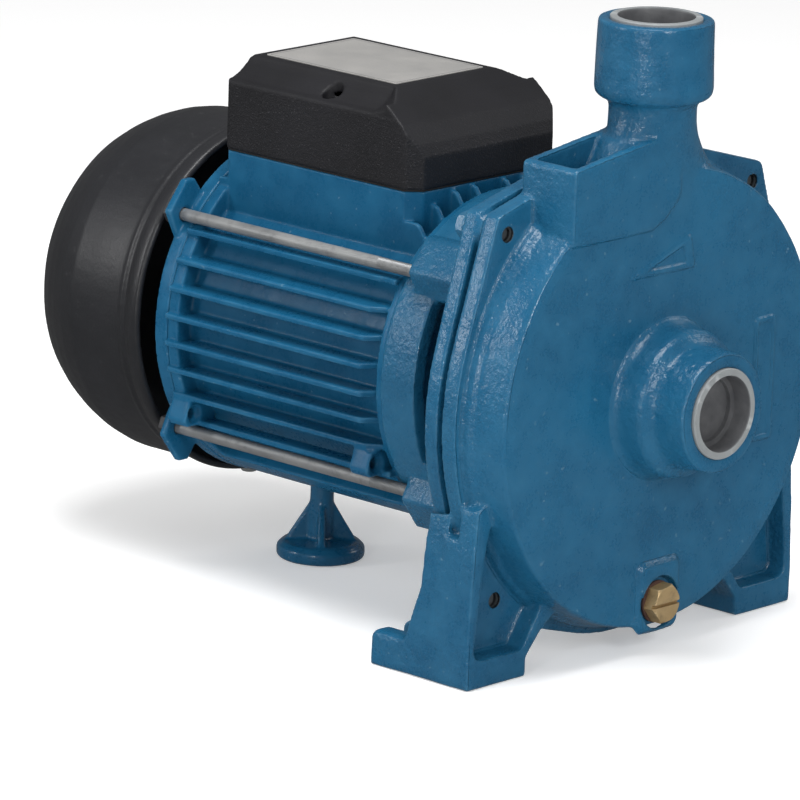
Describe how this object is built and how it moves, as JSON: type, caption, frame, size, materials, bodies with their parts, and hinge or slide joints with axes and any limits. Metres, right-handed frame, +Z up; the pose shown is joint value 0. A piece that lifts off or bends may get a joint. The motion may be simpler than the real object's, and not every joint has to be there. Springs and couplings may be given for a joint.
{
  "type": "centrifugal water pump",
  "caption": "Close-coupled centrifugal water pump: cast casing with threaded suction and outlet, closed impeller, shaft seal, finned fan-cooled motor, terminal box and support foot.",
  "frame": {"origin": "on the floor plane of the feet, under the middle of the overall box", "axes": "+Z up along the outlet; +Y along the shaft from the suction port to the fan; +X to the right seen from the suction side"},
  "size_m": [0.195, 0.331, 0.2509],
  "materials": {
    "casing_paint": "semi-gloss paint over cast iron",
    "bracket_paint": "semi-gloss paint over cast iron",
    "frame_paint": "semi-gloss paint over cast aluminium",
    "shield_paint": "semi-gloss paint over cast aluminium",
    "foot_paint": "semi-gloss paint",
    "cover_black": "satin black",
    "lid_plastic": "textured black plastic",
    "fan_plastic": "moulded black plastic",
    "gland_plastic": "moulded black plastic",
    "plug_plastic": "moulded grey plastic",
    "board_plastic": "moulded dark plastic",
    "capacitor_plastic": "moulded pale plastic",
    "rubber_black": "black rubber",
    "plate_metal": "blank satin plate",
    "steel_bright": "ground steel",
    "steel_zinc": "zinc-plated steel",
    "steel_spring": "spring steel",
    "lamination": "stacked electrical steel",
    "winding": "varnished copper wire",
    "cage_aluminium": "cast aluminium",
    "brass": "machined brass",
    "seal_carbon": "carbon and rubber",
    "seal_ceramic": null,
    "washer_fibre": "fibre",
    "bolt_paint": "paint over steel",
    "steel_dark": "blackened steel"
  },
  "bodies": {
    "stationary": {"pump_body": "casing_paint", "motor_bracket": "bracket_paint", "motor_frame": "frame_paint", "rear_end_shield": "shield_paint", "support_foot": "foot_paint", "foot_screw": "steel_zinc", "fan_cover": "cover_black", "fan_cover_screws": "steel_zinc", "terminal_box_lid": "lid_plastic", "lid_gasket": "rubber_black", "lid_screws": "steel_zinc", "blank_rating_plate": "plate_metal", "capacitor": "capacitor_plastic", "capacitor_strap": "steel_zinc", "terminal_board": "board_plastic", "terminal_screws": "brass", "terminal_board_screws": "steel_zinc", "earth_screw": "brass", "cable_gland_body": "gland_plastic", "cable_gland_locknut": "gland_plastic", "cable_gland_cap": "gland_plastic", "cable_gland_grommet": "rubber_black", "tie_rods": "steel_bright", "tie_rod_nuts": "steel_dark", "tie_rod_washers": "steel_zinc", "casing_bolts": "bolt_paint", "casing_bolt_washers": "bolt_paint", "casing_o_ring": "rubber_black", "drain_plug": "brass", "drain_washer": "washer_fibre", "seal_seat": "seal_ceramic", "seal_seat_cup": "rubber_black", "front_bearing_outer_race": "steel_bright", "rear_bearing_outer_race": "steel_bright", "bearing_circlip": "steel_spring", "preload_washer": "steel_spring", "stator_core": "lamination", "stator_windings": "winding"},
    "rotor": {"shaft": "steel_bright", "impeller": "brass", "impeller_key": "steel_bright", "impeller_washer": "steel_bright", "impeller_nut": "brass", "seal_rotating_ring": "seal_carbon", "seal_spring": "steel_spring", "water_slinger": "rubber_black", "front_bearing_inner_race": "steel_bright", "rear_bearing_inner_race": "steel_bright", "rotor_core": "lamination", "rotor_cage": "cage_aluminium", "cooling_fan": "fan_plastic", "fan_clip": "steel_spring"},
    "ball_sets": {"front_bearing_balls": "steel_bright", "front_bearing_cage": "steel_zinc", "rear_bearing_balls": "steel_bright", "rear_bearing_cage": "steel_zinc"},
    "suction_plug": {"suction_port_plug": "plug_plastic"},
    "outlet_plug": {"outlet_port_plug": "plug_plastic"}
  },
  "joints": [
    {"name": "shaft_spin", "type": "hinge", "parent": "stationary", "child": "rotor", "pos_m": [0, 0, 0.102], "axis": [0, 1, 0], "continuous": true},
    {"name": "ball_orbit", "type": "hinge", "parent": "stationary", "child": "ball_sets", "pos_m": [0, 0, 0.102], "axis": [0, 1, 0], "continuous": true},
    {"name": "suction_plug_slide", "type": "slide", "parent": "stationary", "child": "suction_plug", "axis": [0, -1, 0], "range_m": [0, 0.1]},
    {"name": "outlet_plug_slide", "type": "slide", "parent": "stationary", "child": "outlet_plug", "axis": [0, 0, 1], "range_m": [0, 0.1]}
  ],
  "couplings": [
    {"joint": "ball_orbit", "follows": "shaft_spin", "ratio": 0.384}
  ]
}
